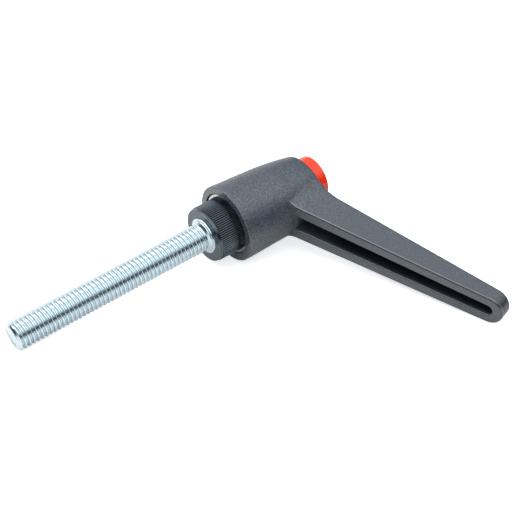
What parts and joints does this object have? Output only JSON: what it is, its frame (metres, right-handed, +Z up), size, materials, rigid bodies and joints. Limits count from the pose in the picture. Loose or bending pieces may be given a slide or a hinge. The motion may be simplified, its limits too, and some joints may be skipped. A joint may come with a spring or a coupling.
{
  "type": "adjustable clamping lever",
  "caption": "Adjustable clamping lever with a dark tapered arm, round hub, serrated sleeve, release button and threaded stud, lying on its side.",
  "frame": {"origin": "centre of the bounding box, on the surface the lever lies on", "axes": "+Z up from that surface; +X is the level direction in which the stud axis runs from the stud's free end to the button, the axis rising 6 degrees towards the button; the arm reaches towards -Y. The lever lies on the stud's end, the hub's lower rim and the arm's tip."},
  "size_m": [0.109, 0.08, 0.0229],
  "materials": {
    "lever_plastic": "fine-grained dark grey glass-fibre reinforced plastic, matt",
    "insert_zinc": "plain bright metal, fine turned end face",
    "washer_steel": "plain steel",
    "sleeve_black": "black-oxide steel, lightly oiled",
    "stud_zinc": "bright blue-white zinc plate",
    "stop_washer_steel": "plain steel",
    "screw_zinc": "zinc-plated steel",
    "button_orange": "orange-red moulded plastic, satin",
    "seat_steel": "plain steel",
    "clip_steel": "phosphated spring steel",
    "spring_steel": "spring steel wire"
  },
  "bodies": {
    "lever": {"lever_body": "lever_plastic", "serration_ring": "insert_zinc", "spring_washer": "washer_steel"},
    "release": {"push_button": "button_orange", "spring_seat": "seat_steel", "button_clip": "clip_steel", "return_spring": "spring_steel"},
    "clamp": {"threaded_stud": "stud_zinc", "serrated_sleeve": "sleeve_black", "stop_washer": "stop_washer_steel", "retaining_screw": "screw_zinc"}
  },
  "joints": [
    {"name": "button_press", "type": "slide", "parent": "lever", "child": "release", "axis": [-0.9943, 0, -0.1064], "range_m": [0, 0.003], "stiffness_N_per_m": 1500, "springref_m": -0.005, "deforming": ["return_spring"]},
    {"name": "stud_swivel", "type": "hinge", "parent": "release", "child": "clamp", "pos_m": [0.00547, 0.02886, 0.01029], "axis": [0.9943, 0, 0.1064], "continuous": true}
  ]
}
